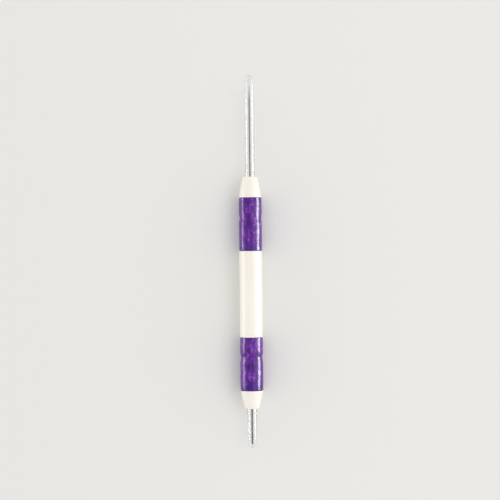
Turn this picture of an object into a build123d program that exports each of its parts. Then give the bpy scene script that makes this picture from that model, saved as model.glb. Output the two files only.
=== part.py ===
"""A double-ended quilling tool: a needle at one end of a white handle, a slotted pin at the other.

The tool lies on a surface at z = 0 with its axis along Y. The needle points to +Y and the slotted pin
to -Y, and the origin is under the middle of the capped tool. Each turned piece is drawn as a half
outline of (radius, place along the axis) and spun about the axis. Sizes are in millimetres.
"""

from build123d import *

import os

# The handle's three plain lengths, from the barrel's middle outwards.
barrel_length = 38.8
grip_length = 24.0
needle_nose_length = 9.3
slot_nose_length = 8.1

# The barrel: a thick middle, and a neck at each end that carries a grip.
barrel_diameter = 10.2
barrel_edge_round = 0.25
neck_diameter = 7.6
neck_nip = 0.1
bore_diameter = 5.4
bore_lead_in = 0.3

# Keys along each neck stop the grip from turning.
key_count = 4
key_width = 0.8
key_height = 0.35
key_length = 18.0

# The grip: a soft sleeve with a shallow finger waist nearer its needle side.
grip_bulge_diameter = 10.5
grip_edge_diameter = 10.24
grip_waist_diameter = 9.9
grip_waist_place = 14.9
grip_waist_width = 4.6
grip_waist_round = 3.0
grip_edge_round = 0.35

# The nose: a tapered end that plugs into the barrel and carries its wire.
nose_base_diameter = 9.9
needle_nose_mouth_diameter = 6.6
slot_nose_mouth_diameter = 6.1
nose_swell = 0.15
nose_rim_length = 0.3
nose_mouth_round = 0.3
spigot_length = 14.0
spigot_chamfer = 0.4
snap_rib_height = 0.12
snap_rib_width = 1.2
snap_rib_place = 10.0
socket_depth = 4.0
boss_diameter = 2.4
boss_setback = 0.4

# The wires. Each has a square shank that can't turn in its nose, a head, and a plug that backs the head.
needle_diameter = 0.7
needle_reach = 41.0
needle_point_length = 7.0
needle_tip_diameter = 0.12
slotted_pin_diameter = 0.9
slotted_pin_reach = 15.9
slotted_pin_tip_round = 0.12
paper_slot_width = 0.25
paper_slot_depth = 6.5
shank_width = 1.1
shank_setback = 0.1
wire_head_diameter = 2.0
wire_head_length = 0.8
plug_diameter = 2.4
plug_length = 3.0
plug_chamfer = 0.3

# The clear caps: round-ended tubes, each stepped down at its mouth to plug into a nose's socket.
cap_diameter = 4.2
cap_bore_diameter = 3.0
cap_plug_diameter = 3.8
cap_plug_length = 3.8
cap_plug_chamfer = 0.15
needle_cap_reach = 45.7
slot_cap_reach = 17.6

# Clearances on the radius, and how far a cut runs past what it cuts.
press_clearance = 0.01
shank_clearance = 0.01
cap_clearance = 0.02
grip_clearance = 0.02
cut_overrun = 1.0

# Places along the axis from the barrel's middle, worked out from the lengths above.
shoulder_place = barrel_length / 2
nose_place = shoulder_place + grip_length
neck_end_place = nose_place - neck_nip
needle_cap_tip_place = nose_place + needle_nose_length + needle_cap_reach
slot_cap_tip_place = -(nose_place + slot_nose_length + slot_cap_reach)
middle_place = (needle_cap_tip_place + slot_cap_tip_place) / 2
axis_height = grip_bulge_diameter / 2


def turned(corners, rounds=()):
    """Spins a half outline about the tool's axis. rounds gives (corner, radius) of each rounded corner."""
    face = make_face(Polyline(*corners, close=True))
    for corner, radius in rounds:
        nearest = face.vertices().sort_by_distance((*corner, 0))[0]
        face = fillet(nearest, radius)
    return revolve(face, Axis.Y)


def round_rod(diameter, low, high):
    """A plain rod on the axis from low to high, also used as a cutter for a round hole."""
    radius = diameter / 2
    return turned([(0, low), (radius, low), (radius, high), (0, high)])


def square_rod(width, low, high):
    """A square rod on the axis from low to high, also used as a cutter for a square hole."""
    return Pos(0, low, 0) * Box(width, high - low, width, align=(Align.CENTER, Align.MIN, Align.CENTER))


def ring(outer_diameter, inner_diameter, low, high):
    """A plain ring on the axis."""
    return round_rod(outer_diameter, low, high) - round_rod(inner_diameter, low, high)


def neck_keys(middle, extra):
    """The keys of one neck about a middle place, grown by extra on every side that faces the grip."""
    keys = []
    height = key_height + extra
    width = key_width + 2 * extra
    length = key_length + 2 * extra
    outer = neck_diameter / 2 + height
    blank = Box(width, length, outer + height, align=(Align.CENTER, Align.CENTER, Align.MIN))
    envelope = ring(2 * outer, neck_diameter - 2 * key_height, -length, length)
    key = Pos(0, middle, 0) * (blank & envelope)
    for number in range(key_count):
        keys.append(Rot(0, 360 / key_count * number, 0) * key)
    return keys


def barrel():
    """The white barrel: thick in the middle, with a keyed neck at each end and a bore right through."""
    thick = barrel_diameter / 2
    thin = neck_diameter / 2
    corners = [
        (0, -neck_end_place),
        (thin, -neck_end_place),
        (thin, -shoulder_place),
        (thick, -shoulder_place),
        (thick, shoulder_place),
        (thin, shoulder_place),
        (thin, neck_end_place),
        (0, neck_end_place),
    ]
    rounds = [((thick, -shoulder_place), barrel_edge_round), ((thick, shoulder_place), barrel_edge_round)]
    body = turned(corners, rounds)
    for side in (-1, 1):
        body += neck_keys(side * (shoulder_place + grip_length / 2), 0)
    body -= round_rod(bore_diameter, -nose_place, nose_place)
    for side in (-1, 1):
        body -= lead_in(side)
        groove_low = side * (nose_place - snap_rib_place - snap_rib_width / 2)
        groove_high = side * (nose_place - snap_rib_place + snap_rib_width / 2)
        low, high = sorted((groove_low, groove_high))
        groove_diameter = bore_diameter + 2 * snap_rib_height
        body -= round_rod(groove_diameter, low - press_clearance, high + press_clearance)
    return body


def lead_in(side):
    """The cone that opens the bore's mouth at one end of the barrel."""
    wide = bore_diameter / 2 + bore_lead_in
    narrow = bore_diameter / 2
    mouth = side * neck_end_place
    inner = side * (neck_end_place - bore_lead_in)
    outer = side * (neck_end_place + cut_overrun)
    return turned([(0, inner), (narrow, inner), (wide, mouth), (wide, outer), (0, outer)])


def grip():
    """The purple sleeve, drawn from 0 at its slotted side to its length at its needle side."""
    edge = grip_edge_diameter / 2
    bulge = grip_bulge_diameter / 2
    waist = grip_waist_diameter / 2
    bore = neck_diameter / 2 + grip_clearance
    waist_low = grip_waist_place - grip_waist_width / 2
    waist_high = grip_waist_place + grip_waist_width / 2
    short_crest = (waist_high + grip_length) / 2
    outline = [
        ThreePointArc((edge, 0), (bulge, waist_low / 2), (edge, waist_low)),
        ThreePointArc((edge, waist_low), (waist, grip_waist_place), (edge, waist_high)),
        ThreePointArc((edge, waist_high), (bulge, short_crest), (edge, grip_length)),
        Line((edge, grip_length), (bore, grip_length)),
        Line((bore, grip_length), (bore, 0)),
        Line((bore, 0), (edge, 0)),
    ]
    face = make_face(outline)
    rounds = [
        (0, grip_edge_round),
        (grip_length, grip_edge_round),
        (waist_low, grip_waist_round),
        (waist_high, grip_waist_round),
    ]
    for place, edge_round in rounds:
        nearest = face.vertices().sort_by_distance((edge, place, 0))[0]
        face = fillet(nearest, edge_round)
    sleeve = revolve(face, Axis.Y)
    return sleeve - neck_keys(grip_length / 2, grip_clearance)


def nose(length, mouth_diameter):
    """A nose, drawn with its shoulder at 0 and its mouth at its length, its spigot going to -Y."""
    base = nose_base_diameter / 2
    mouth = mouth_diameter / 2
    middle = (base + mouth) / 2 + nose_swell
    taper_middle = (nose_rim_length + length) / 2
    outline = [
        Line((0, 0), (base, 0)),
        Line((base, 0), (base, nose_rim_length)),
        ThreePointArc((base, nose_rim_length), (middle, taper_middle), (mouth, length)),
        Line((mouth, length), (0, length)),
        Line((0, length), (0, 0)),
    ]
    face = make_face(outline)
    nearest = face.vertices().sort_by_distance((mouth, length, 0))[0]
    body = revolve(fillet(nearest, nose_mouth_round), Axis.Y)
    body += spigot()
    socket_diameter = cap_plug_diameter + 2 * cap_clearance
    body -= ring(socket_diameter, boss_diameter, length - socket_depth, length + cut_overrun)
    body -= round_rod(boss_diameter, length - boss_setback, length + cut_overrun)
    hole_width = shank_width + 2 * shank_clearance
    body -= square_rod(hole_width, -spigot_length, length)
    head_seat = plug_length + wire_head_length - spigot_length
    plug_hole_diameter = plug_diameter + 2 * press_clearance
    body -= round_rod(plug_hole_diameter, -spigot_length - cut_overrun, head_seat)
    return body


def spigot():
    """The part of a nose that plugs into the barrel, with its snap rib."""
    radius = bore_diameter / 2 - press_clearance
    crest = radius + snap_rib_height
    rib_low = -snap_rib_place - snap_rib_width / 2
    rib_high = -snap_rib_place + snap_rib_width / 2
    corners = [
        (0, -spigot_length),
        (radius - spigot_chamfer, -spigot_length),
        (radius, spigot_chamfer - spigot_length),
        (radius, rib_low),
        (crest, rib_low + snap_rib_height),
        (crest, rib_high - snap_rib_height),
        (radius, rib_high),
        (radius, 0),
        (0, 0),
    ]
    return turned(corners)


def wire_root(nose_length):
    """The inner end of a wire: its round head, then the square shank that fills the nose's square hole."""
    head_low = plug_length - spigot_length
    head_high = head_low + wire_head_length
    shank_high = nose_length - boss_setback - shank_setback
    head = round_rod(wire_head_diameter, head_low, head_high)
    return head + square_rod(shank_width, head_low, shank_high)


def needle():
    """The steel needle: a straight wire drawn out to a fine point."""
    radius = needle_diameter / 2
    tip = needle_tip_diameter / 2
    point = needle_nose_length + needle_reach
    corners = [
        (0, 0),
        (radius, 0),
        (radius, point - needle_point_length),
        (tip, point - tip),
        (0, point),
    ]
    return turned(corners) + wire_root(needle_nose_length)


def slotted_pin():
    """The steel pin that is slit at its tip to take the end of a paper strip."""
    radius = slotted_pin_diameter / 2
    tip = slot_nose_length + slotted_pin_reach
    corners = [(0, 0), (radius, 0), (radius, tip), (0, tip)]
    wire = turned(corners, [((radius, tip), slotted_pin_tip_round)])
    saw_width = slotted_pin_diameter + 2 * cut_overrun
    root_place = tip - paper_slot_depth + paper_slot_width / 2
    slit = Box(
        saw_width,
        tip + cut_overrun - root_place,
        paper_slot_width,
        align=(Align.CENTER, Align.MIN, Align.CENTER),
    )
    root = Rot(0, 90, 0) * Cylinder(paper_slot_width / 2, saw_width)
    return wire + wire_root(slot_nose_length) - Pos(0, root_place, 0) * (slit + root)


def lock_plug():
    """The short plug pressed into a spigot behind the wire's head."""
    radius = plug_diameter / 2
    low = -spigot_length
    high = low + plug_length
    return turned(
        [
            (0, low),
            (radius, low),
            (radius, high - plug_chamfer),
            (radius - plug_chamfer, high),
            (0, high),
        ]
    )


def cap(nose_length, reach):
    """A clear cap: a tube with a round end, its shoulder on the nose's mouth and its plug in the socket."""
    outer = cap_diameter / 2
    inner = cap_bore_diameter / 2
    plug = cap_plug_diameter / 2
    low = nose_length - cap_plug_length
    tip = nose_length + reach
    dome = tip - outer
    outline = [
        Line((inner, low), (plug - cap_plug_chamfer, low)),
        Line((plug - cap_plug_chamfer, low), (plug, low + cap_plug_chamfer)),
        Line((plug, low + cap_plug_chamfer), (plug, nose_length)),
        Line((plug, nose_length), (outer, nose_length)),
        Line((outer, nose_length), (outer, dome)),
        CenterArc((0, dome), outer, 0, 90),
        Line((0, tip), (0, dome + inner)),
        CenterArc((0, dome), inner, 0, 90),
        Line((inner, dome), (inner, low)),
    ]
    return revolve(make_face(outline), Axis.Y)


def at_needle_end(shape):
    """Puts a piece that was drawn about its nose's shoulder at the needle end."""
    return Pos(0, nose_place, 0) * shape


def at_slot_end(shape):
    """Puts a piece that was drawn about its nose's shoulder at the slotted end, turned end for end."""
    return Pos(0, -nose_place, 0) * Rot(0, 0, 180) * shape


def all_parts():
    """Every piece by name, in the tool's own places about the barrel's middle."""
    return {
        "barrel": barrel(),
        "needle_end_grip": Pos(0, shoulder_place, 0) * grip(),
        "slot_end_grip": Pos(0, -nose_place, 0) * grip(),
        "needle_nose": at_needle_end(nose(needle_nose_length, needle_nose_mouth_diameter)),
        "slot_nose": at_slot_end(nose(slot_nose_length, slot_nose_mouth_diameter)),
        "quilling_needle": at_needle_end(needle()),
        "slotted_pin": at_slot_end(slotted_pin()),
        "needle_lock_plug": at_needle_end(lock_plug()),
        "slot_lock_plug": at_slot_end(lock_plug()),
        "needle_cap": at_needle_end(cap(needle_nose_length, needle_cap_reach)),
        "slot_cap": at_slot_end(cap(slot_nose_length, slot_cap_reach)),
    }


os.makedirs("parts", exist_ok=True)
for name, shape in all_parts().items():
    laid_down = Pos(0, -middle_place, axis_height) * shape
    export_step(laid_down, os.path.join("parts", name + ".step"))
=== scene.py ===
import math

import bmesh
import bpy
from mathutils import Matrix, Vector


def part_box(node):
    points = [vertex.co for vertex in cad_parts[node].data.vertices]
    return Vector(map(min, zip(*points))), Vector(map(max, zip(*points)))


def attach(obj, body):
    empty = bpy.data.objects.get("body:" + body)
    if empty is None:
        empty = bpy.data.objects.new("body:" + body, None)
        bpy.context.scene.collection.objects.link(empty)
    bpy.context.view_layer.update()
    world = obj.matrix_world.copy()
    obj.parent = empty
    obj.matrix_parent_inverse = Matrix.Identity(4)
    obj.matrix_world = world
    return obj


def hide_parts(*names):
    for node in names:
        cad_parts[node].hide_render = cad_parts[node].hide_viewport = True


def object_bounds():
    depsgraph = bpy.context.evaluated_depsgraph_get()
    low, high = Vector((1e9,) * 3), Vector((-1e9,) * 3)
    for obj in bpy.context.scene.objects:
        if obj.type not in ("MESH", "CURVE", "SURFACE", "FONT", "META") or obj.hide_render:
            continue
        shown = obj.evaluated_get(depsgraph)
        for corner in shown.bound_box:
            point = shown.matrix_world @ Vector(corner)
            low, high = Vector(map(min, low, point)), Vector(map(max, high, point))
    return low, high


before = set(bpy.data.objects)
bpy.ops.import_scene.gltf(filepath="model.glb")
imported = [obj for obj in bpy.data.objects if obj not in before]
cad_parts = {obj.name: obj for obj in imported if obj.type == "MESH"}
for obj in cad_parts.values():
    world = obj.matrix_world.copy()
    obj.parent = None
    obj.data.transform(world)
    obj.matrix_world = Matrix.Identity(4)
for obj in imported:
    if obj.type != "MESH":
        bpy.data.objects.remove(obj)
cad_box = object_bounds()
cad_low, cad_high = cad_box
mm = 0.001

# The camera
# The tool is seen from straight above, needle end up the picture, and leans a trace to the left. A long
# lens well above it shows both ends at one scale, as a product photographer's does.
picture_side_px = 500
tool_length_px = 372.5
tool_middle_px = (250.65, 261.5)
lean_degrees = 0.55
lens_mm = 135
sensor_mm = 36
nearest_seen_share = 0.02

tool_middle = (cad_low + cad_high) / 2
metres_per_px = (cad_high.y - cad_low.y) / tool_length_px
aside = (picture_side_px / 2 - tool_middle_px[0]) * metres_per_px
along = (tool_middle_px[1] - picture_side_px / 2) * metres_per_px
camera_height = picture_side_px * metres_per_px * lens_mm / sensor_mm
bpy.ops.object.camera_add(
    location=tool_middle + Vector((aside, along, camera_height)),
    rotation=(0, 0, -math.radians(lean_degrees)),
)
camera = bpy.context.object
camera.data.lens = lens_mm
camera.data.sensor_width = sensor_mm
camera.data.clip_start = nearest_seen_share * camera_height
bpy.context.scene.camera = camera
bpy.context.scene.view_settings.view_transform = "Standard"


# The floor
# A matt painted board, pale grey so that the white handle and the clear caps stand out from it. It is
# rolled with paint, which gives it a very fine even tooth.
floor_side = 8.0
floor_colour = "E9E8E6"
floor_tooth_mm = 0.6
floor_tooth_depth_mm = 0.05


def linear(colour):
    """A six-digit sRGB colour as the linear one that shaders take."""
    shares = [int(colour[place:place + 2], 16) / 255 for place in (0, 2, 4)]
    return [s / 12.92 if s <= 0.04045 else ((s + 0.055) / 1.055) ** 2.4 for s in shares] + [1.0]


def add_node(tree, kind, settings=(), **inputs):
    """Adds one node with its settings, and sets or links its inputs. An underscore stands for a space in an
    input's name, and i0 is the first input."""
    node = tree.nodes.new(kind)
    for name, value in dict(settings).items():
        setattr(node, name, value)
    for name, value in inputs.items():
        socket = node.inputs[int(name[1:]) if name[1:].isdigit() else name.replace("_", " ")]
        if isinstance(value, bpy.types.NodeSocket):
            tree.links.new(value, socket)
        else:
            socket.default_value = value
    return node


def new_material(name):
    """An empty node material and its tree, with only the output left in it."""
    material = bpy.data.materials.new(name)
    material.use_nodes = True
    tree = material.node_tree
    tree.nodes.remove(tree.nodes["Principled BSDF"])
    return material, tree


def finish_material(tree, shader):
    """Links a shader to the material's output."""
    tree.links.new(shader.outputs[0], tree.nodes["Material Output"].inputs["Surface"])


def rolled_paint():
    """Matt water-based paint: flat, with a tooth too fine to see as more than an even softness."""
    material, tree = new_material("rolled_matt_paint")
    place = add_node(tree, "ShaderNodeTexCoord").outputs["Object"]
    tooth = add_node(
        tree, "ShaderNodeTexNoise", Vector=place, Scale=1 / (floor_tooth_mm * mm), Detail=2.0
    )
    bump = add_node(
        tree,
        "ShaderNodeBump",
        Height=tooth.outputs["Fac"],
        Strength=0.05,
        Distance=floor_tooth_depth_mm * mm,
    )
    paint = add_node(
        tree,
        "ShaderNodeBsdfPrincipled",
        Base_Color=linear(floor_colour),
        Roughness=0.85,
        Specular_IOR_Level=0.0,
        Normal=bump.outputs["Normal"],
    )
    finish_material(tree, paint)
    return material


bpy.ops.object.select_all(action="DESELECT")
bpy.ops.mesh.primitive_plane_add(size=floor_side, location=(0, 0, 0))
floor = bpy.context.object
floor.name = "floor"
floor.data.materials.append(rolled_paint())


# The light
# A pale room that darkens overhead, and three boxes along the tool: a broad one up on the right, a low
# bright strip that draws the white line down each grip, and a dim low strip on the left.
room_low_colour = "F8F8F6"
room_high_colour = "B8B8B7"
room_dims_from = 0.15
room_dims_to = 0.55
room_strength = 1.6
seen_strength = 0.95
upper_box_place = (0.95, 0.0, 1.18)
upper_box_size = (2.0, 0.8)
upper_box_watts = 5.5
strip_length = 0.27
right_strip_place = (0.5, 0.0, 0.083)
right_strip_height = 0.16
right_strip_watts = 3.3
left_strip_place = (-0.5, 0.0, 0.03)
left_strip_height = 0.1
left_strip_watts = 1.2


def softbox(name, place, size, watts):
    """An area lamp at a place in metres, turned to face the tool's middle."""
    turn = (tool_middle - Vector(place)).to_track_quat("-Z", "Y").to_euler()
    bpy.ops.object.light_add(type="AREA", location=place, rotation=turn)
    lamp = bpy.context.object
    lamp.name = name
    lamp.data.shape = "RECTANGLE"
    lamp.data.size, lamp.data.size_y = size
    lamp.data.energy = watts
    lamp.visible_camera = False
    lamp.visible_transmission = False
    return lamp


world = bpy.data.worlds.new("studio")
bpy.context.scene.world = world
world.use_nodes = True
room = world.node_tree
direction = add_node(room, "ShaderNodeTexCoord").outputs["Generated"]
height = add_node(room, "ShaderNodeSeparateXYZ", Vector=direction).outputs["Z"]
shade = add_node(
    room,
    "ShaderNodeMapRange",
    {"interpolation_type": "SMOOTHSTEP"},
    Value=height,
    From_Min=room_dims_from,
    From_Max=room_dims_to,
)
tone = add_node(
    room,
    "ShaderNodeMix",
    {"data_type": "RGBA"},
    i0=shade.outputs["Result"],
    i6=linear(room_low_colour),
    i7=linear(room_high_colour),
)
room.links.new(tone.outputs[2], room.nodes["Background"].inputs["Color"])
ray = add_node(room, "ShaderNodeLightPath").outputs
seen = ray["Is Camera Ray"]
for kind in ("Is Transmission Ray", "Is Glossy Ray"):
    either = add_node(room, "ShaderNodeMath", {"operation": "MAXIMUM"}, i0=seen, i1=ray[kind])
    seen = either.outputs["Value"]
strength = add_node(room, "ShaderNodeMapRange", Value=seen, To_Min=room_strength, To_Max=seen_strength)
room.links.new(strength.outputs["Result"], room.nodes["Background"].inputs["Strength"])

softbox("upper_right_box", upper_box_place, upper_box_size, upper_box_watts)
right_strip_size = (strip_length, right_strip_height)
right_strip = softbox("right_strip", right_strip_place, right_strip_size, right_strip_watts)
left_strip_size = (strip_length, left_strip_height)
left_strip = softbox("left_strip", left_strip_place, left_strip_size, left_strip_watts)
for strip in (right_strip, left_strip):
    strip.visible_diffuse = False


# The barrel
# The white handle, moulded in one shot of ivory polystyrene around a steel core that leaves its bore. The
# two necks carry the grips, and the mould's halves leave a fine raised line down each side.
barrel_low, barrel_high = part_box("barrel")
needle_grip_low, needle_grip_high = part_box("needle_end_grip")
slot_grip_low, slot_grip_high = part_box("slot_end_grip")
grip_ends = ((needle_grip_low, needle_grip_high), (slot_grip_low, slot_grip_high))
axis_height = (cad_low.z + cad_high.z) / 2
barrel_radius = (barrel_high.x - barrel_low.x) / 2
neck_radius = 3.8 * mm
bore_radius = 2.7 * mm
bore_lead_in = 0.3 * mm
groove_depth = 0.12 * mm
groove_from = 9.4 * mm
groove_to = 10.6 * mm
barrel_edge_round = 0.25 * mm
key_half_angle = math.radians(6)
key_height = 0.35 * mm
key_length = 18.0 * mm
turning_steps = 120
corner_segments = 5
parting_line_width = 0.16 * mm
parting_line_height = 0.025 * mm
touching = 0.002 * mm
ivory_shaded = "F5EEE2"
ivory_clean = "FBF7EE"
ivory_roughness = (0.34, 0.46)
ivory_glow_mm = 0.8
flow_line_mm = 1.6
flow_line_stretch_share = 0.06
flow_line_span = (0.3, 0.7)
peel_mm = 0.9
peel_depth_mm = 0.05


def select_where(piece, wanted):
    """In edit mode, selects the vertices whose place the test wants, and what lies between them."""
    mesh = bmesh.from_edit_mesh(piece.data)
    for vertex in mesh.verts:
        vertex.select = wanted(vertex.co)
    mesh.select_flush(True)
    mesh.select_flush(False)
    bmesh.update_edit_mesh(piece.data)


def select_faces(piece, wanted):
    """In edit mode, selects the faces whose middle the test wants."""
    mesh = bmesh.from_edit_mesh(piece.data)
    for face in mesh.faces:
        face.select = wanted(face.calc_center_median())
    bmesh.update_edit_mesh(piece.data)


def off_axis(place):
    """How far a place lies from the tool's axis."""
    return math.hypot(place.x, place.z - axis_height)


def take_up(piece):
    """Selects just this piece, ready for an operator."""
    bpy.ops.object.select_all(action="DESELECT")
    piece.select_set(True)
    bpy.context.view_layer.objects.active = piece


def turned(name, outline, rounds=(), steps=turning_steps):
    """Draws a half outline of (radius, place) points, rounds its corners and spins it about the axis."""
    bpy.ops.object.select_all(action="DESELECT")
    radius, place = outline[0]
    bpy.ops.mesh.primitive_plane_add(size=mm, location=(radius, place, axis_height))
    piece = bpy.context.object
    piece.name = name
    bpy.ops.object.transform_apply(location=True, rotation=True, scale=True)
    bpy.ops.object.mode_set(mode="EDIT")
    bpy.ops.mesh.select_mode(type="VERT")
    bpy.ops.mesh.select_all(action="SELECT")
    bpy.ops.mesh.merge(type="CENTER")
    for next_radius, next_place in outline[1:]:
        step = (next_radius - radius, next_place - place, 0)
        bpy.ops.mesh.extrude_region_move(TRANSFORM_OT_translate={"value": step})
        radius, place = next_radius, next_place
    bpy.ops.mesh.select_all(action="SELECT")
    bpy.ops.mesh.remove_doubles(threshold=touching)
    for corner, size in rounds:
        spot = Vector((*corner, axis_height))
        select_where(piece, lambda place: (place - spot).length < touching)
        bpy.ops.mesh.bevel(
            offset=size, offset_type="OFFSET", segments=corner_segments, affect="VERTICES"
        )
    bpy.ops.mesh.select_all(action="SELECT")
    bpy.ops.mesh.spin(
        steps=steps, angle=math.tau, use_auto_merge=True, center=(0, 0, axis_height), axis=(0, 1, 0)
    )
    bpy.ops.mesh.select_all(action="SELECT")
    bpy.ops.mesh.remove_doubles(threshold=touching)
    bpy.ops.mesh.normals_make_consistent(inside=False)
    bpy.ops.object.mode_set(mode="OBJECT")
    return piece


def raise_parting_lines(piece, low, high, least_radius):
    """Raises the line that a two-part mould leaves down each side, between two places on the axis."""
    bpy.ops.object.mode_set(mode="EDIT")

    def on_line(place):
        on_side = abs(place.z - axis_height) < touching and abs(place.x) > least_radius
        return on_side and low - touching < place.y < high + touching

    select_where(piece, on_line)
    bpy.ops.mesh.bevel(offset=parting_line_width / 2, offset_type="OFFSET", segments=2, affect="EDGES")
    select_where(piece, on_line)
    bpy.ops.transform.shrink_fatten(value=parting_line_height)
    bpy.ops.object.mode_set(mode="OBJECT")


def smooth(piece, degrees=35):
    """Shades a piece smooth, but for edges sharper than the angle."""
    take_up(piece)
    bpy.ops.object.shade_smooth_by_angle(angle=math.radians(degrees))


def dress(piece, material, body, slot, *nodes):
    """Gives a finished piece its material and its body, and hides the nodes that it stands for. The slot is
    not used.
    """
    piece.data.materials.append(material)
    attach(piece, body)
    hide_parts(*nodes)


def moulded_polystyrene():
    """Ivory polystyrene, satin off the mould. Faint flow lines, hardly off white, run along it."""
    material, tree = new_material("moulded_ivory_polystyrene")
    place = add_node(tree, "ShaderNodeTexCoord").outputs["Object"]
    drawn_out = add_node(
        tree, "ShaderNodeMapping", Vector=place, Scale=(1.0, flow_line_stretch_share, 1.0)
    )
    flow = add_node(
        tree,
        "ShaderNodeTexNoise",
        Vector=drawn_out.outputs["Vector"],
        Scale=1 / (flow_line_mm * mm),
        Detail=3.0,
    )
    tone = add_node(
        tree,
        "ShaderNodeMapRange",
        Value=flow.outputs["Fac"],
        From_Min=flow_line_span[0],
        From_Max=flow_line_span[1],
    )
    colour = add_node(
        tree,
        "ShaderNodeMix",
        {"data_type": "RGBA"},
        i0=tone.outputs["Result"],
        i6=linear(ivory_shaded),
        i7=linear(ivory_clean),
    )
    gloss = add_node(
        tree,
        "ShaderNodeMapRange",
        Value=flow.outputs["Fac"],
        To_Min=ivory_roughness[0],
        To_Max=ivory_roughness[1],
    )
    peel = add_node(tree, "ShaderNodeTexNoise", Vector=place, Scale=1 / (peel_mm * mm), Detail=2.0)
    bump = add_node(
        tree, "ShaderNodeBump", Height=peel.outputs["Fac"], Strength=0.12, Distance=peel_depth_mm * mm
    )
    plastic = add_node(
        tree,
        "ShaderNodeBsdfPrincipled",
        Base_Color=colour.outputs[2],
        Roughness=gloss.outputs["Result"],
        IOR=1.54,
        Subsurface_Weight=0.15,
        Subsurface_Radius=(1.0, 0.8, 0.6),
        Subsurface_Scale=ivory_glow_mm * mm,
        Normal=bump.outputs["Normal"],
    )
    finish_material(tree, plastic)
    return material


def barrel_outline():
    """The barrel's half outline from its slotted end, out along the necks and back through the bore."""
    low, high = barrel_low.y, barrel_high.y
    groove_radius = bore_radius + groove_depth
    needle_side = [
        (neck_radius, high),
        (bore_radius + bore_lead_in, high),
        (bore_radius, high - bore_lead_in),
        (bore_radius, high - groove_from),
        (groove_radius, high - groove_from),
        (groove_radius, high - groove_to),
        (bore_radius, high - groove_to),
    ]
    slot_side = [(radius, low + high - place) for radius, place in reversed(needle_side)]
    needle_key = [(needle_grip_low.y + needle_grip_high.y + way * key_length) / 2 for way in (-1, 1)]
    slot_key = [(slot_grip_low.y + slot_grip_high.y + way * key_length) / 2 for way in (-1, 1)]
    outside = [(neck_radius, place) for place in slot_key]
    outside += [(neck_radius, slot_grip_high.y), (barrel_radius, slot_grip_high.y)]
    outside += [(barrel_radius, needle_grip_low.y), (neck_radius, needle_grip_low.y)]
    outside += [(neck_radius, place) for place in needle_key]
    return slot_side[-1:] + outside + needle_side + slot_side


def on_spoke(place):
    """Whether a place lies in the run of a key: above, below or to either side of the axis."""
    turn = math.atan2(place.z - axis_height, place.x) % (math.pi / 2)
    return min(turn, math.pi / 2 - turn) < key_half_angle


def raise_keys(piece):
    """Raises the four keys along each neck that stop the grips from turning."""
    bpy.ops.object.mode_set(mode="EDIT")
    bpy.ops.mesh.select_mode(type="FACE")

    def on_key(place):
        on_neck = bore_radius + groove_depth < off_axis(place) < neck_radius
        from_middle = min(abs(place.y - (low.y + high.y) / 2) for low, high in grip_ends)
        return on_neck and on_spoke(place) and from_middle < key_length / 2

    select_faces(piece, on_key)
    bpy.ops.mesh.extrude_region_shrink_fatten(TRANSFORM_OT_shrink_fatten={"value": key_height})
    bpy.ops.mesh.select_mode(type="VERT")
    bpy.ops.object.mode_set(mode="OBJECT")


barrel = turned(
    "barrel_moulding",
    barrel_outline(),
    [
        ((barrel_radius, slot_grip_high.y), barrel_edge_round),
        ((barrel_radius, needle_grip_low.y), barrel_edge_round),
    ],
)
raise_keys(barrel)
raise_parting_lines(barrel, slot_grip_high.y, needle_grip_low.y, neck_radius + key_height)
smooth(barrel)
ivory = moulded_polystyrene()
dress(barrel, ivory, "handle", "white_plastic", "barrel")


# The grips
# Two soft sleeves of marbled, pearly thermoplastic rubber, moulded and pushed over the barrel's necks.
# The skin is glossy and a little lumpy, and a shallow waist near the needle side takes the fingertips.
grip_edge_radius = 5.08 * mm
grip_bulge_radius = 5.19 * mm
grip_crown_power = 4
grip_waist_radius = 4.9 * mm
grip_waist_place = 14.9 * mm
grip_waist_reach = 2.7 * mm
grip_bore_radius = 3.82 * mm
grip_edge_round = 0.3 * mm
grip_ring_pitch = 0.16 * mm
grip_steps = 180
groove_height = 0.37 * mm
groove_clearance = 0.02 * mm
lump_pitch = 1.6 * mm
lump_height = 0.1 * mm
lump_stretch = 1.7
stir_mm = 3.0
pearl_swirl_mm = 1.3
pearl_swirl_stretch_share = 0.3
pearl_tones = ((0.32, "2C0758"), (0.43, "4A0E7C"), (0.53, "601690"), (0.62, "7A34A8"), (0.72, "A678CC"))
fleck_mm = 0.45
fleck_span = (0.65, 0.8)
fleck_share = 0.4
fleck_colour = "B088D2"
deep_end_mm = 7.0
deep_end_share = 0.6
deep_end_colour = "370D7C"
wrap_margin = 1.0 * mm
grain_mm = 0.35
grain_depth_mm = 0.04
rubber_roughness = (0.18, 0.34)
rubber_sheen = "C8B0E0"


def grip_radius(place, length):
    """The sleeve's radius at a place from its slotted end: one long crown, dipped at the finger waist."""
    share = 2 * place / length - 1
    crown = grip_edge_radius + (grip_bulge_radius - grip_edge_radius) * (1 - share ** grip_crown_power)
    away = min(1.0, abs(place - grip_waist_place) / grip_waist_reach)
    dip = (crown - grip_waist_radius) * (1 + math.cos(math.pi * away)) / 2
    edge = min(place, length - place, grip_edge_round)
    fall = grip_edge_round - math.sqrt(grip_edge_round ** 2 - (grip_edge_round - edge) ** 2)
    return crown - dip - fall


def sleeve_outline(low, high):
    """A sleeve's half outline between two places on the axis: its outside, then back down its bore."""
    length = high - low
    count = round(length / grip_ring_pitch)
    places = [length * number / count for number in range(count + 1)]
    outline = [(grip_bore_radius, low)]
    outline += [(grip_radius(place, length), low + place) for place in places]
    middle = (low + high) / 2
    groove_half = key_length / 2 + groove_clearance
    bore = [high, middle + groove_half, middle - groove_half, low]
    return outline + [(grip_bore_radius, place) for place in bore]


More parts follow.
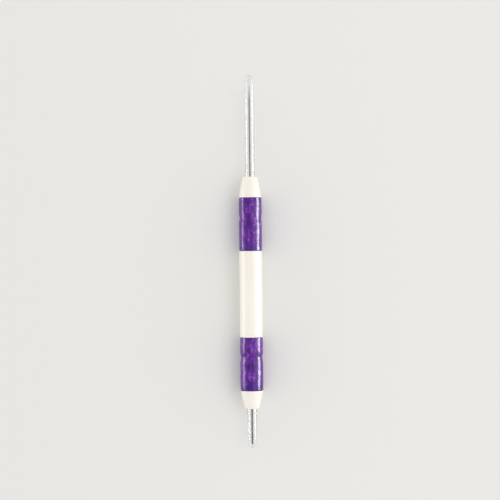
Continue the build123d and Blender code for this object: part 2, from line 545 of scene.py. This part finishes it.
def sink_key_grooves(piece):
    """Sinks the four grooves in a sleeve's bore that the neck's keys run in."""
    bpy.ops.object.mode_set(mode="EDIT")
    bpy.ops.mesh.select_mode(type="FACE")
    select_faces(piece, lambda place: on_spoke(place) and off_axis(place) < grip_bore_radius)
    bpy.ops.mesh.extrude_region_shrink_fatten(TRANSFORM_OT_shrink_fatten={"value": -groove_height})
    bpy.ops.mesh.select_mode(type="VERT")
    bpy.ops.object.mode_set(mode="OBJECT")


def raise_lumps(piece, low, high):
    """Makes a sleeve's skin lumpy between its rounded ends. The lumps are drawn out along the tool: they are
    raised on the sleeve while it is shortened, and then it is stretched to its length again."""

    def on_skin(place):
        clear_of_ends = low + grip_edge_round < place.y < high - grip_edge_round
        return clear_of_ends and off_axis(place) > grip_waist_radius - grip_edge_round

    bpy.ops.object.mode_set(mode="EDIT")
    select_where(piece, on_skin)
    bpy.ops.object.vertex_group_add()
    piece.vertex_groups.active.name = "skin"
    bpy.context.scene.tool_settings.vertex_group_weight = 1.0
    bpy.ops.object.vertex_group_assign()
    centre = (0, (low + high) / 2, axis_height)
    bpy.ops.mesh.select_all(action="SELECT")
    bpy.ops.transform.resize(value=(1, 1 / lump_stretch, 1), center_override=centre)
    bpy.ops.object.mode_set(mode="OBJECT")
    lumps = bpy.data.textures.new("lumps", "CLOUDS")
    lumps.noise_scale = lump_pitch
    lumps.noise_depth = 1
    shaping = piece.modifiers.new("lumps", "DISPLACE")
    shaping.texture = lumps
    shaping.strength = lump_height
    shaping.vertex_group = "skin"
    bpy.ops.object.modifier_apply(modifier="lumps")
    bpy.ops.object.mode_set(mode="EDIT")
    bpy.ops.mesh.select_all(action="SELECT")
    bpy.ops.transform.resize(value=(1, lump_stretch, 1), center_override=centre)
    bpy.ops.object.mode_set(mode="OBJECT")


def marbled_rubber():
    """Purple thermoplastic rubber with pearl pigment stirred into it: lilac swirls and flecks, and a glossy
    skin with a fine grain. Each sleeve turns darker and bluer over the last few millimetres towards its
    slotted end."""
    material, tree = new_material("marbled_pearl_rubber")
    place = add_node(tree, "ShaderNodeTexCoord").outputs["Object"]
    stir = add_node(tree, "ShaderNodeTexNoise", Vector=place, Scale=1 / (stir_mm * mm), Detail=2.0)
    pushed = add_node(
        tree,
        "ShaderNodeVectorMath",
        {"operation": "MULTIPLY_ADD"},
        i0=stir.outputs["Color"],
        i1=[stir_mm * mm] * 3,
        i2=place,
    )
    drawn_out = add_node(
        tree,
        "ShaderNodeMapping",
        Vector=pushed.outputs["Vector"],
        Scale=(1.0, pearl_swirl_stretch_share, 1.0),
    )
    swirl = add_node(
        tree,
        "ShaderNodeTexNoise",
        Vector=drawn_out.outputs["Vector"],
        Scale=1 / (pearl_swirl_mm * mm),
        Detail=5.0,
        Roughness=0.65,
    )
    ramp = add_node(tree, "ShaderNodeValToRGB", Fac=swirl.outputs["Fac"])
    stops = ramp.color_ramp.elements
    stops.remove(stops[1])
    first_share, first_tone = pearl_tones[0]
    stops[0].position = first_share
    stops[0].color = linear(first_tone)
    for share, tone in pearl_tones[1:]:
        stops.new(share).color = linear(tone)
    specks = add_node(tree, "ShaderNodeTexNoise", Vector=place, Scale=1 / (fleck_mm * mm), Detail=1.0)
    fleck = add_node(
        tree,
        "ShaderNodeMapRange",
        Value=specks.outputs["Fac"],
        From_Min=fleck_span[0],
        From_Max=fleck_span[1],
        To_Max=fleck_share,
    )
    pearly = add_node(
        tree,
        "ShaderNodeMix",
        {"data_type": "RGBA"},
        i0=fleck.outputs["Result"],
        i6=ramp.outputs["Color"],
        i7=linear(fleck_colour),
    )
    along_tool = add_node(tree, "ShaderNodeSeparateXYZ", Vector=place).outputs["Y"]
    wrap_start = slot_grip_low.y - wrap_margin
    on_slot_grip = add_node(
        tree,
        "ShaderNodeMath",
        {"operation": "WRAP"},
        i0=along_tool,
        i1=wrap_start + needle_grip_low.y - slot_grip_low.y,
        i2=wrap_start,
    )
    deep = add_node(
        tree,
        "ShaderNodeMapRange",
        {"interpolation_type": "SMOOTHSTEP"},
        Value=on_slot_grip.outputs["Value"],
        From_Min=slot_grip_low.y,
        From_Max=slot_grip_low.y + deep_end_mm * mm,
        To_Min=deep_end_share,
        To_Max=0.0,
    )
    colour = add_node(
        tree,
        "ShaderNodeMix",
        {"data_type": "RGBA"},
        i0=deep.outputs["Result"],
        i6=pearly.outputs[2],
        i7=linear(deep_end_colour),
    )
    gloss = add_node(
        tree,
        "ShaderNodeMapRange",
        Value=swirl.outputs["Fac"],
        To_Min=rubber_roughness[0],
        To_Max=rubber_roughness[1],
    )
    grain = add_node(tree, "ShaderNodeTexNoise", Vector=place, Scale=1 / (grain_mm * mm), Detail=2.0)
    bump = add_node(
        tree, "ShaderNodeBump", Height=grain.outputs["Fac"], Strength=0.5, Distance=grain_depth_mm * mm
    )
    rubber = add_node(
        tree,
        "ShaderNodeBsdfPrincipled",
        Base_Color=colour.outputs[2],
        Roughness=gloss.outputs["Result"],
        Normal=bump.outputs["Normal"],
        IOR=1.47,
        Sheen_Weight=0.3,
        Sheen_Roughness=0.4,
        Sheen_Tint=linear(rubber_sheen),
    )
    finish_material(tree, rubber)
    return material


rubber = marbled_rubber()
for node in ("needle_end_grip", "slot_end_grip"):
    grip_low, grip_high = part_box(node)
    outline = sleeve_outline(grip_low.y, grip_high.y)
    sleeve = turned(node + "_sleeve", outline, steps=grip_steps)
    sink_key_grooves(sleeve)
    raise_lumps(sleeve, grip_low.y, grip_high.y)
    smooth(sleeve)
    dress(sleeve, rubber, "handle", "purple_grip", node)


# The noses
# A tapered end piece for each end, moulded of the barrel's ivory plastic. Its ribbed spigot snaps into the
# barrel's bore, its square hole holds a wire, and the ring-shaped socket in its mouth takes the clear cap.
nose_rim_length = 0.3 * mm
nose_swell = 0.15 * mm
nose_base_round = 0.08 * mm
nose_mouth_round = 0.3 * mm
socket_radius = 1.92 * mm
socket_depth = 4.0 * mm
boss_radius = 1.2 * mm
boss_setback = 0.4 * mm
spigot_radius = 2.69 * mm
spigot_length = 14.0 * mm
spigot_chamfer = 0.4 * mm
snap_rib_height = 0.12 * mm
snap_rib_from = 9.4 * mm
snap_rib_to = 10.6 * mm
square_hole_width = 1.12 * mm
plug_hole_radius = 1.21 * mm
plug_hole_depth = 3.8 * mm
nose_taper_steps = 12


def nose_outline(length, base_radius, mouth_radius):
    """A nose's half outline with its shoulder at 0 and its mouth at its length, around a solid core."""
    taper = []
    for number in range(nose_taper_steps + 1):
        share = number / nose_taper_steps
        swell = nose_swell * (1 - (2 * share - 1) ** 2)
        radius = base_radius + (mouth_radius - base_radius) * share + swell
        taper.append((radius, nose_rim_length + (length - nose_rim_length) * share))
    rib = spigot_radius + snap_rib_height
    return [
        (0, plug_hole_depth - spigot_length),
        (plug_hole_radius, plug_hole_depth - spigot_length),
        (plug_hole_radius, -spigot_length),
        (spigot_radius - spigot_chamfer, -spigot_length),
        (spigot_radius, spigot_chamfer - spigot_length),
        (spigot_radius, -snap_rib_to),
        (rib, snap_rib_height - snap_rib_to),
        (rib, -snap_rib_from - snap_rib_height),
        (spigot_radius, -snap_rib_from),
        (spigot_radius, 0),
        (base_radius, 0),
    ] + taper + [
        (socket_radius, length),
        (socket_radius, length - socket_depth),
        (boss_radius, length - socket_depth),
        (boss_radius, length - boss_setback),
        (0, length - boss_setback),
    ]


def set_at_end(outline, shoulder, way):
    """An outline drawn about its nose's shoulder, put at one end of the tool. way is 1 or -1 along Y."""
    return [(radius, shoulder + way * place) for radius, place in outline]


def square_rod(width, low, high):
    """A square rod on the axis between two places, drawn from a cube whose ends are pulled to length."""
    middle = (low + high) / 2
    bpy.ops.object.select_all(action="DESELECT")
    bpy.ops.mesh.primitive_cube_add(size=width, location=(0, middle, axis_height))
    rod = bpy.context.object
    bpy.ops.object.transform_apply(location=True, rotation=True, scale=True)
    bpy.ops.object.mode_set(mode="EDIT")
    for end in (low, high):
        select_where(rod, lambda place: (place.y - middle) * (end - middle) > 0)
        shift = end - middle - math.copysign(width / 2, end - middle)
        bpy.ops.transform.translate(value=(0, shift, 0))
    bpy.ops.object.mode_set(mode="OBJECT")
    return rod


def combine(piece, tool, operation):
    """Cuts the tool from the piece, or joins it on, and removes the tool."""
    change = piece.modifiers.new(operation.lower(), "BOOLEAN")
    change.operation = operation
    change.solver = "EXACT"
    change.object = tool
    take_up(piece)
    bpy.ops.object.modifier_apply(modifier=change.name)
    bpy.data.objects.remove(tool)
    bpy.ops.object.mode_set(mode="EDIT")
    bpy.ops.mesh.select_all(action="SELECT")
    bpy.ops.mesh.remove_doubles(threshold=touching)
    bpy.ops.mesh.dissolve_degenerate(threshold=touching)
    bpy.ops.object.mode_set(mode="OBJECT")


def nose(name, shoulder, mouth, base_radius, mouth_radius):
    """One nose between its shoulder and its mouth, with its square hole and its parting lines."""
    way = math.copysign(1, mouth - shoulder)
    length = abs(mouth - shoulder)
    outline = set_at_end(nose_outline(length, base_radius, mouth_radius), shoulder, way)
    rounds = [
        ((base_radius, shoulder), nose_base_round),
        ((mouth_radius, mouth), nose_mouth_round),
    ]
    piece = turned(name, outline, rounds)
    ends = sorted((shoulder, mouth - way * nose_mouth_round))
    raise_parting_lines(piece, ends[0] + nose_rim_length / 2, ends[1], spigot_radius + snap_rib_height)
    hole_ends = sorted((shoulder + way * (plug_hole_depth - spigot_length - mm), mouth + way * mm))
    combine(piece, square_rod(square_hole_width, *hole_ends), "DIFFERENCE")
    return piece


slot_nose_low, slot_nose_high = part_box("slot_nose")
needle_nose_low, needle_nose_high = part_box("needle_nose")
nose_base_radius = (needle_nose_high.x - needle_nose_low.x) / 2
needle_nose_mouth_radius = 3.3 * mm
slot_nose_mouth_radius = 3.05 * mm
needle_nose = nose(
    "needle_nose_moulding",
    needle_nose_low.y + spigot_length,
    needle_nose_high.y,
    nose_base_radius,
    needle_nose_mouth_radius,
)
slot_nose = nose(
    "slot_nose_moulding",
    slot_nose_high.y - spigot_length,
    slot_nose_low.y,
    nose_base_radius,
    slot_nose_mouth_radius,
)
for piece, node in ((needle_nose, "needle_nose"), (slot_nose, "slot_nose")):
    smooth(piece)
    dress(piece, ivory, "handle", "white_plastic", node)


# The lock plugs
# Two short plugs of the same ivory plastic, pressed into the spigots behind the wires' heads, so that the
# wires can't be pushed back. Nobody sees them once the tool is together.
for node in ("needle_lock_plug", "slot_lock_plug"):
    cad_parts[node].material_slots[0].material = ivory


# The wires
# The needle and the slotted pin, of hard-drawn stainless wire, each with an upset head and a square-pressed
# shank inside its nose. The needle is ground to a point, and the pin is sawn down its middle for the paper.
wire_steps = 48
wire_head_radius = 1.0 * mm
wire_head_length = 0.8 * mm
plug_length = 3.0 * mm
shank_width = 1.1 * mm
shank_setback = 0.5 * mm
needle_radius = 0.35 * mm
needle_point_length = 7.0 * mm
needle_tip_radius = 0.06 * mm
pin_radius = 0.45 * mm
pin_tip_round = 0.12 * mm
slit_width = 0.25 * mm
slit_depth = 6.5 * mm
slit_root_round = slit_width / 2.2
slit_root_segments = 4
saw_width = 2.0 * mm
steel_colour = "8F8D88"
steel_roughness = (0.1, 0.3)
drawn_line_mm = 0.12
drawn_line_stretch_share = 0.02
drawn_line_depth_mm = 0.01


def wire(name, outline, shoulder, mouth, rounds=()):
    """A wire turned from its half outline past the nose, joined to its head and its square shank."""
    way = math.copysign(1, mouth - shoulder)
    head_place = shoulder + way * (plug_length - spigot_length)
    root = [(0, head_place), (wire_head_radius, head_place)]
    root += [(wire_head_radius, head_place + way * wire_head_length)]
    piece = turned(name, root + outline, rounds, steps=wire_steps)
    inside_head = head_place + way * wire_head_length / 2
    shank = square_rod(shank_width, *sorted((inside_head, mouth - way * shank_setback)))
    combine(piece, shank, "UNION")
    return piece


def polished_steel():
    """Drawn stainless wire, polished along its length: fine lines run with it and break its gloss."""
    material, tree = new_material("drawn_stainless_wire")
    place = add_node(tree, "ShaderNodeTexCoord").outputs["Object"]
    drawn_out = add_node(
        tree, "ShaderNodeMapping", Vector=place, Scale=(1.0, drawn_line_stretch_share, 1.0)
    )
    lines = add_node(
        tree,
        "ShaderNodeTexNoise",
        Vector=drawn_out.outputs["Vector"],
        Scale=1 / (drawn_line_mm * mm),
        Detail=2.0,
    )
    gloss = add_node(
        tree,
        "ShaderNodeMapRange",
        Value=lines.outputs["Fac"],
        To_Min=steel_roughness[0],
        To_Max=steel_roughness[1],
    )
    bump = add_node(
        tree,
        "ShaderNodeBump",
        Height=lines.outputs["Fac"],
        Strength=0.1,
        Distance=drawn_line_depth_mm * mm,
    )
    steel = add_node(
        tree,
        "ShaderNodeBsdfPrincipled",
        Base_Color=linear(steel_colour),
        Metallic=1.0,
        Roughness=gloss.outputs["Result"],
        Normal=bump.outputs["Normal"],
    )
    finish_material(tree, steel)
    return material


steel = polished_steel()
needle_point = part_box("quilling_needle")[1].y
needle_shoulder = needle_nose_low.y + spigot_length
needle_outline = [
    (needle_radius, needle_shoulder + plug_hole_depth - spigot_length),
    (needle_radius, needle_point - needle_point_length),
    (needle_tip_radius, needle_point - needle_tip_radius),
    (0, needle_point),
]
needle = wire("quilling_needle_wire", needle_outline, needle_shoulder, needle_nose_high.y)
smooth(needle)
dress(needle, steel, "handle", "needle_steel", "quilling_needle")

pin_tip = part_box("slotted_pin")[0].y
pin_shoulder = slot_nose_high.y - spigot_length
pin_outline = [
    (pin_radius, pin_shoulder - plug_hole_depth + spigot_length),
    (pin_radius, pin_tip),
    (0, pin_tip),
]
pin_rounds = [((pin_radius, pin_tip), pin_tip_round)]
pin = wire("slotted_pin_wire", pin_outline, pin_shoulder, slot_nose_low.y, pin_rounds)
bpy.ops.object.select_all(action="DESELECT")
bpy.ops.mesh.primitive_cube_add(size=slit_width, location=(0, pin_tip, axis_height))
saw = bpy.context.object
bpy.ops.object.transform_apply(location=True, rotation=True, scale=True)
bpy.ops.object.mode_set(mode="EDIT")
bpy.ops.mesh.select_all(action="SELECT")
bpy.ops.transform.resize(
    value=(saw_width / slit_width, 1, 1), center_override=(0, pin_tip, axis_height)
)
select_where(saw, lambda place: place.y > pin_tip)
bpy.ops.transform.translate(value=(0, slit_depth - slit_width / 2, 0))
bpy.ops.mesh.bevel(
    offset=slit_root_round, offset_type="OFFSET", segments=slit_root_segments, affect="EDGES"
)
bpy.ops.object.mode_set(mode="OBJECT")
combine(pin, saw, "DIFFERENCE")
smooth(pin)
dress(pin, steel, "handle", "needle_steel", "slotted_pin")


# The caps
# Two clear round-ended tubes, moulded of crystal polystyrene. Each is stepped down at its mouth to push
# into a nose's socket, and its round end has a shallow dimple with the pip where the plastic came in. They
# let the light through to what lies under them, so they neither cast a shadow nor shade the floor.
cap_radius = 2.1 * mm
cap_bore_radius = 1.5 * mm
cap_plug_radius = 1.9 * mm
cap_plug_chamfer = 0.15 * mm
cap_step_round = 0.08 * mm
dome_steps = 16
dimple_radius = 0.45 * mm
dimple_depth = 0.08 * mm
pip_radius = 0.18 * mm
pip_height = 0.05 * mm
cap_steps = 128
cap_colour = "FBFCFC"
cap_roughness = (0.05, 0.09)
ripple_mm = 2.5
ripple_stretch_share = 0.03
ripple_depth_mm = 0.01


def dome(radius, middle, way, least_radius):
    """Points up a dome's quarter circle from its rim until its radius falls to the least one."""
    last = math.acos(least_radius / radius)
    points = []
    for number in range(dome_steps + 1):
        angle = last * number / dome_steps
        points.append((radius * math.cos(angle), middle + way * radius * math.sin(angle)))
    return points


def cap_outline(plug_end, mouth, tip, way):
    """A cap's half outline, from the middle of its round end over the outside and back up the bore."""
    middle = tip - way * cap_radius
    outside = dome(cap_radius, middle, way, dimple_radius)
    inside = dome(cap_bore_radius, middle, way, 0)
    floor_place = outside[-1][1] - way * dimple_depth
    pip_place = floor_place + way * pip_height
    end = [(0, pip_place), (pip_radius, pip_place), (pip_radius, floor_place)]
    end += [(dimple_radius - pip_height, floor_place)]
    step = [(cap_radius, mouth), (cap_plug_radius, mouth)]
    plug = [
        (cap_plug_radius, plug_end + way * cap_plug_chamfer),
        (cap_plug_radius - cap_plug_chamfer, plug_end),
        (cap_bore_radius, plug_end),
    ]
    return end + outside[::-1] + step + plug + inside


def clear_polystyrene():
    """Crystal polystyrene, clear and glossy, with faint long ripples from its flow into the mould."""
    material, tree = new_material("crystal_polystyrene")
    place = add_node(tree, "ShaderNodeTexCoord").outputs["Object"]
    drawn_out = add_node(tree, "ShaderNodeMapping", Vector=place, Scale=(1.0, ripple_stretch_share, 1.0))
    ripple = add_node(
        tree,
        "ShaderNodeTexNoise",
        Vector=drawn_out.outputs["Vector"],
        Scale=1 / (ripple_mm * mm),
        Detail=1.0,
    )
    bump = add_node(
        tree, "ShaderNodeBump", Height=ripple.outputs["Fac"], Strength=0.1, Distance=ripple_depth_mm * mm
    )
    gloss = add_node(
        tree,
        "ShaderNodeMapRange",
        Value=ripple.outputs["Fac"],
        To_Min=cap_roughness[0],
        To_Max=cap_roughness[1],
    )
    clear = add_node(
        tree,
        "ShaderNodeBsdfPrincipled",
        Base_Color=linear(cap_colour),
        Roughness=gloss.outputs["Result"],
        IOR=1.59,
        Transmission_Weight=1.0,
        Normal=bump.outputs["Normal"],
    )
    finish_material(tree, clear)
    return material


clear = clear_polystyrene()
needle_cap_low, needle_cap_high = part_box("needle_cap")
slot_cap_low, slot_cap_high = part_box("slot_cap")
for node, plug_end, mouth, tip in (
    ("needle_cap", needle_cap_low.y, needle_nose_high.y, needle_cap_high.y),
    ("slot_cap", slot_cap_high.y, slot_nose_low.y, slot_cap_low.y),
):
    way = math.copysign(1, tip - mouth)
    outline = cap_outline(plug_end, mouth, tip, way)
    piece = turned(node + "_tube", outline, [((cap_radius, mouth), cap_step_round)], steps=cap_steps)
    smooth(piece)
    dress(piece, clear, node, "clear_plastic", node)
    piece.visible_shadow = False
    piece.visible_diffuse = False
